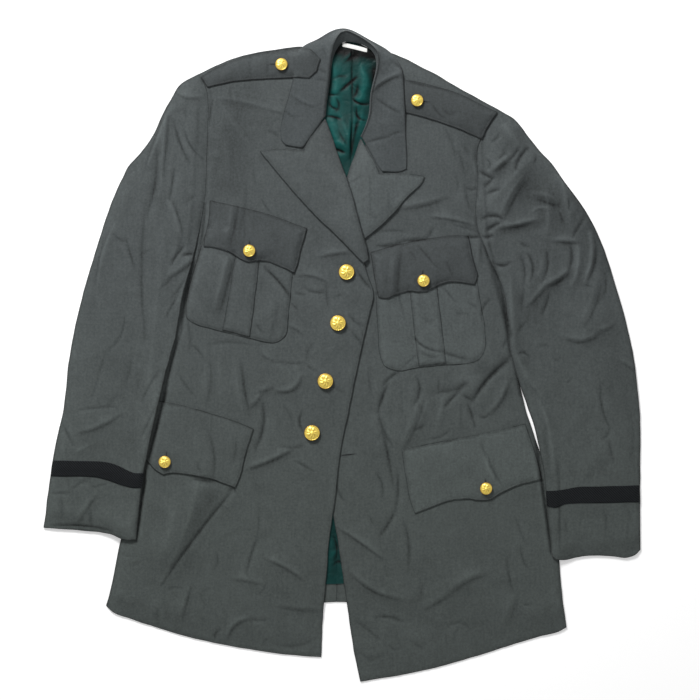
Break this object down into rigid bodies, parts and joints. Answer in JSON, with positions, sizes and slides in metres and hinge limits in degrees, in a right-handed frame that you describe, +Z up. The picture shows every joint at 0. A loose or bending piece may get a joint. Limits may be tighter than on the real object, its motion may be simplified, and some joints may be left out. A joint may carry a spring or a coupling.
{
  "type": "military dress tunic",
  "caption": "Military dress tunic laid flat on its back, open down the front, with notched lapels, flapped breast and hip pockets, shoulder straps and cuff braid.",
  "frame": {"origin": "centre of the coat's box, on the surface that it lies on", "axes": "+X towards the wearer's left side, +Y towards the collar, +Z up from the surface"},
  "size_m": [0.7622, 0.8358, 0.0202],
  "materials": {
    "wool": "grey-green wool twill, matte with a slight nap",
    "satin_lining": "dark green satin, soft sheen",
    "braid": "black ribbed mohair braid",
    "gilt": "gilt, satin with a raised pattern",
    "tape": "blank white woven tape"
  },
  "bodies": {
    "root": {"back_left": "wool", "back_right": "wool", "braid_left": "braid", "braid_right": "braid", "breast_button_left": "gilt", "breast_button_right": "gilt", "breast_flap_left": "wool", "breast_flap_right": "wool", "breast_pocket_left": "wool", "breast_pocket_right": "wool", "collar": "wool", "epaulette_button_left": "gilt", "epaulette_button_right": "gilt", "epaulette_left": "wool", "epaulette_right": "wool", "front_button_1": "gilt", "front_button_2": "gilt", "front_button_3": "gilt", "front_button_4": "gilt", "front_left": "wool", "front_right": "wool", "hip_button_left": "gilt", "hip_button_right": "gilt", "hip_flap_left": "wool", "hip_flap_right": "wool", "label": "tape", "lapel_left": "wool", "lapel_right": "wool", "lining_left": "satin_lining", "lining_right": "satin_lining", "pleat_left": "wool", "pleat_right": "wool", "sleeve_left_top": "wool", "sleeve_left_under": "wool", "sleeve_right_top": "wool", "sleeve_right_under": "wool"}
  },
  "joints": []
}
